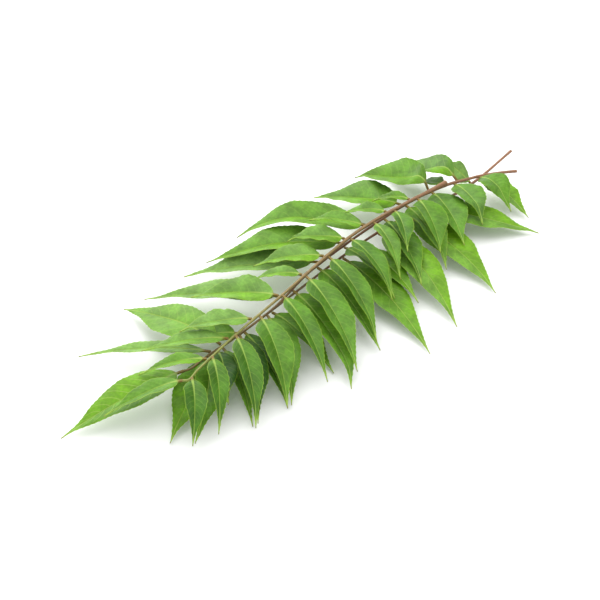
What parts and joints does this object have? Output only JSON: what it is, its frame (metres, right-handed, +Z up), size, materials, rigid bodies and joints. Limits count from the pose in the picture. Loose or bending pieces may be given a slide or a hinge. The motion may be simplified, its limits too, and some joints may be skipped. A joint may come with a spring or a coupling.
{
  "type": "curry leaf sprig",
  "caption": "Cut curry leaf sprig lying flat: pinnate leaves with slender brown stalks and pointed green leaflets fanned out along both sides.",
  "frame": {"origin": "middle of the sprig's footprint, on the surface it lies on", "axes": "+X along the sprig towards the cut ends of its stalks, +Y across it, +Z up from the surface"},
  "size_m": [0.268, 0.116, 0.0244],
  "materials": {
    "leaflet_green": "semi-gloss fresh leaf",
    "stalk_pink_brown": "satin, pinkish brown bark",
    "stalk_brown": "satin, brown bark"
  },
  "bodies": {
    "root": {"lower_end_leaflet": "leaflet_green", "lower_left_leaflet": "leaflet_green", "lower_right_leaflet_1": "leaflet_green", "lower_right_leaflet_2": "leaflet_green", "lower_right_leaflet_3": "leaflet_green", "lower_right_leaflet_4": "leaflet_green", "lower_right_leaflet_5": "leaflet_green", "lower_right_leaflet_6": "leaflet_green", "lower_right_leaflet_7": "leaflet_green", "lower_right_leaflet_8": "leaflet_green", "lower_right_leaflet_9": "leaflet_green", "lower_small_leaflet": "leaflet_green", "lower_stalk": "stalk_brown", "middle_end_leaflet": "leaflet_green", "middle_left_leaflet_1": "leaflet_green", "middle_left_leaflet_10": "leaflet_green", "middle_left_leaflet_2": "leaflet_green", "middle_left_leaflet_3": "leaflet_green", "middle_left_leaflet_4": "leaflet_green", "middle_left_leaflet_5": "leaflet_green", "middle_left_leaflet_6": "leaflet_green", "middle_left_leaflet_7": "leaflet_green", "middle_left_leaflet_8": "leaflet_green", "middle_left_leaflet_9": "leaflet_green", "middle_right_leaflet_1": "leaflet_green", "middle_right_leaflet_10": "leaflet_green", "middle_right_leaflet_11": "leaflet_green", "middle_right_leaflet_12": "leaflet_green", "middle_right_leaflet_2": "leaflet_green", "middle_right_leaflet_3": "leaflet_green", "middle_right_leaflet_4": "leaflet_green", "middle_right_leaflet_5": "leaflet_green", "middle_right_leaflet_6": "leaflet_green", "middle_right_leaflet_7": "leaflet_green", "middle_right_leaflet_8": "leaflet_green", "middle_right_leaflet_9": "leaflet_green", "middle_stalk": "stalk_brown", "upper_end_leaflet": "leaflet_green", "upper_left_leaflet_1": "leaflet_green", "upper_left_leaflet_10": "leaflet_green", "upper_left_leaflet_2": "leaflet_green", "upper_left_leaflet_3": "leaflet_green", "upper_left_leaflet_4": "leaflet_green", "upper_left_leaflet_5": "leaflet_green", "upper_left_leaflet_6": "leaflet_green", "upper_left_leaflet_7": "leaflet_green", "upper_left_leaflet_8": "leaflet_green", "upper_left_leaflet_9": "leaflet_green", "upper_right_leaflet_1": "leaflet_green", "upper_right_leaflet_10": "leaflet_green", "upper_right_leaflet_11": "leaflet_green", "upper_right_leaflet_2": "leaflet_green", "upper_right_leaflet_3": "leaflet_green", "upper_right_leaflet_4": "leaflet_green", "upper_right_leaflet_5": "leaflet_green", "upper_right_leaflet_6": "leaflet_green", "upper_right_leaflet_7": "leaflet_green", "upper_right_leaflet_8": "leaflet_green", "upper_right_leaflet_9": "leaflet_green", "upper_stalk": "stalk_pink_brown"}
  },
  "joints": []
}
